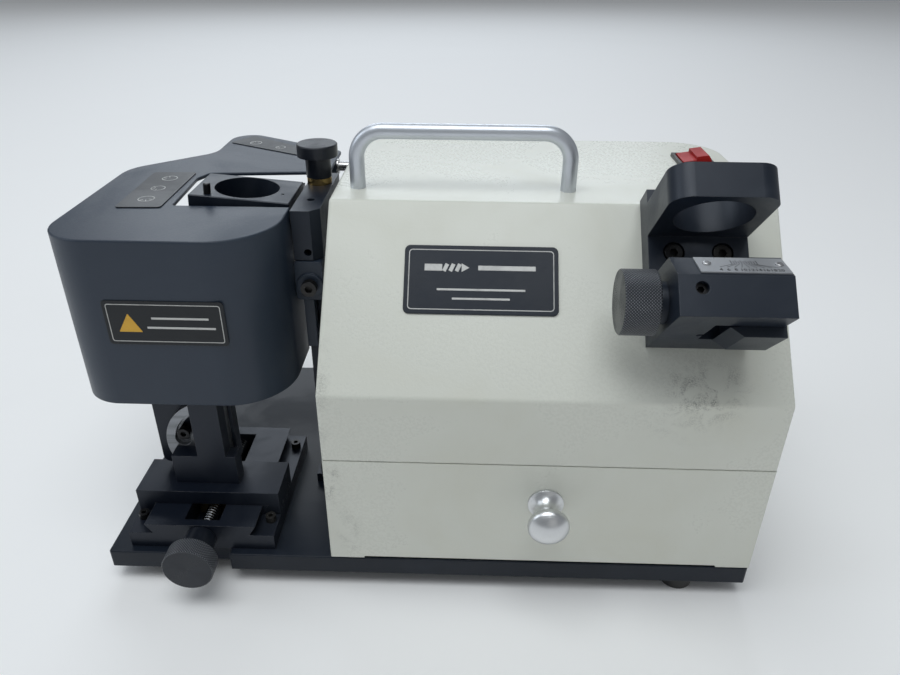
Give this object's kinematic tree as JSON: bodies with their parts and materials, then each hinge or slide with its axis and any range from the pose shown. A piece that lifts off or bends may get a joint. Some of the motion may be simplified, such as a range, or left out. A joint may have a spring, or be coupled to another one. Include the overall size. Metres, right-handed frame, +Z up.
{
  "type": "drill bit sharpener",
  "caption": "Bench drill and end-mill re-sharpener with a cream hood, a chuck setting gauge, a guarded grinding head on a cross slide, and a drawer.",
  "frame": {"origin": "on the bench, under the centre of the machine's outline", "axes": "+Z up, +X to the right along the front, +Y to the back; the drawer and the feed knob face -Y"},
  "size_m": [0.381, 0.2604, 0.2486],
  "materials": {
    "painted_hood": "fine textured cream powder coat",
    "painted_drawer": "fine textured cream powder coat",
    "black_plate": "satin black paint",
    "blue_grey_coat": "satin dark blue-grey powder coat",
    "black_oxide": "black oxide on steel",
    "bright_steel": "turned and ground steel",
    "screw_black": "black oxide socket screws",
    "sector_alu": "milled aluminium",
    "handle_alu": "satin anodised aluminium",
    "knob_alu": "turned aluminium",
    "scale_alu": "printed aluminium plate",
    "knob_black": "knurled black knob",
    "foot_rubber": "matte rubber",
    "switch_black": "moulded black plastic",
    "switch_red": "translucent red plastic",
    "label_navy": "printed plastic label",
    "label_dark": "printed plastic label",
    "motor_steel": "painted motor shell",
    "inlet_black": "moulded black plastic",
    "brass_part": "turned brass",
    "wheel_abrasive": "bonded abrasive",
    "zinc_sheet": "zinc-plated sheet",
    "spring_steel": "spring wire"
  },
  "bodies": {
    "frame": {"base_plate": "black_plate", "rubber_feet": "foot_rubber", "lower_case": "painted_drawer", "deck_screws": "screw_black", "hood": "painted_hood", "hood_screws": "bright_steel", "handle": "handle_alu", "handle_screws": "bright_steel", "nameplate": "label_navy", "switch_housing": "switch_black", "power_inlet": "inlet_black", "motor_body": "motor_steel", "motor_end_bells": "sector_alu", "motor_cradle": "zinc_sheet", "motor_capacitor": "inlet_black", "spindle_flange": "black_oxide", "spindle_bearings": "bright_steel", "gauge_body": "black_oxide", "gauge_screws": "screw_black", "gauge_scale": "scale_alu", "gauge_rivets": "bright_steel", "gauge_collar": "bright_steel", "slide_bed": "black_oxide", "plunger_bracket": "black_oxide", "bracket_column": "black_oxide", "stop_arm": "black_oxide", "stop_screw": "screw_black", "plunger_barrel": "brass_part", "hinge_rod": "bright_steel", "hinge_clip": "bright_steel", "drawer_rails": "zinc_sheet", "plunger_spring": "spring_steel"},
    "drawer": {"drawer_front": "painted_drawer", "drawer_tray": "zinc_sheet", "drawer_knob": "knob_alu", "drawer_knob_screw": "bright_steel"},
    "rocker": {"switch_rocker": "switch_red"},
    "spindle": {"rotor": "bright_steel", "wheel_flanges": "bright_steel", "grinding_wheel": "wheel_abrasive", "wheel_nut": "bright_steel"},
    "shroud_body": {"shroud": "blue_grey_coat", "shroud_plates": "label_dark"},
    "cross_slide": {"saddle": "black_oxide", "feed_nut": "brass_part", "gib": "brass_part", "head_post": "black_oxide", "sector_plate": "sector_alu", "pivot_pin": "bright_steel"},
    "feed_screw": {"lead_screw": "bright_steel", "feed_knob": "knob_black"},
    "head": {"tilt_arm": "black_oxide", "clamp_screw": "screw_black", "port_block": "black_oxide", "port_pin": "bright_steel", "port_screws": "screw_black"},
    "jaw": {"gauge_jaw": "black_oxide"},
    "gauge_screw": {"gauge_spindle": "bright_steel", "gauge_knob": "knob_black"},
    "plunger": {"index_plunger": "knob_black"}
  },
  "joints": [
    {"name": "drawer_slide", "type": "slide", "parent": "frame", "child": "drawer", "axis": [0, -1, 0], "range_m": [0, 0.15]},
    {"name": "rocker_pivot", "type": "hinge", "parent": "frame", "child": "rocker", "pos_m": [0.1667, 0.05131, 0.2121], "axis": [0, 1, 0], "range_deg": [0, 22]},
    {"name": "spindle_spin", "type": "hinge", "parent": "frame", "child": "spindle", "pos_m": [-0.106, 0.01281, 0.1365], "axis": [1, 0, 0], "continuous": true},
    {"name": "shroud_hinge", "type": "hinge", "parent": "frame", "child": "shroud_body", "pos_m": [-0.0735, 0.07081, 0.1995], "axis": [-1, 0, 0], "range_deg": [0, 80]},
    {"name": "cross_feed", "type": "slide", "parent": "frame", "child": "cross_slide", "axis": [0, 1, 0], "range_m": [-0.0015, 0.014]},
    {"name": "feed_screw_turn", "type": "hinge", "parent": "frame", "child": "feed_screw", "pos_m": [-0.1252, -0.10519, 0.0295], "axis": [0, 1, 0], "range_deg": [-2525, 275]},
    {"name": "head_tilt", "type": "hinge", "parent": "cross_slide", "child": "head", "pos_m": [-0.1218, -0.05519, 0.0705], "axis": [0, 1, 0], "range_deg": [-2, 0.8]},
    {"name": "jaw_slide", "type": "slide", "parent": "frame", "child": "jaw", "axis": [1, 0, 0], "range_m": [-0.01, 0.0135]},
    {"name": "gauge_screw_turn", "type": "hinge", "parent": "frame", "child": "gauge_screw", "pos_m": [0.1045, -0.10273, 0.18876], "axis": [1, 0, 0], "range_deg": [-3245, 2405]},
    {"name": "plunger_lift", "type": "slide", "parent": "frame", "child": "plunger", "axis": [0, 0, 1], "range_m": [0, 0.006], "stiffness_N_per_m": 400, "springref_m": -0.003, "deforming": ["plunger_spring"]}
  ],
  "couplings": [
    {"joint": "feed_screw_turn", "follows": "cross_feed", "rad_per_m": -3141.6},
    {"joint": "gauge_screw_turn", "follows": "jaw_slide", "rad_per_m": -4188.8}
  ]
}
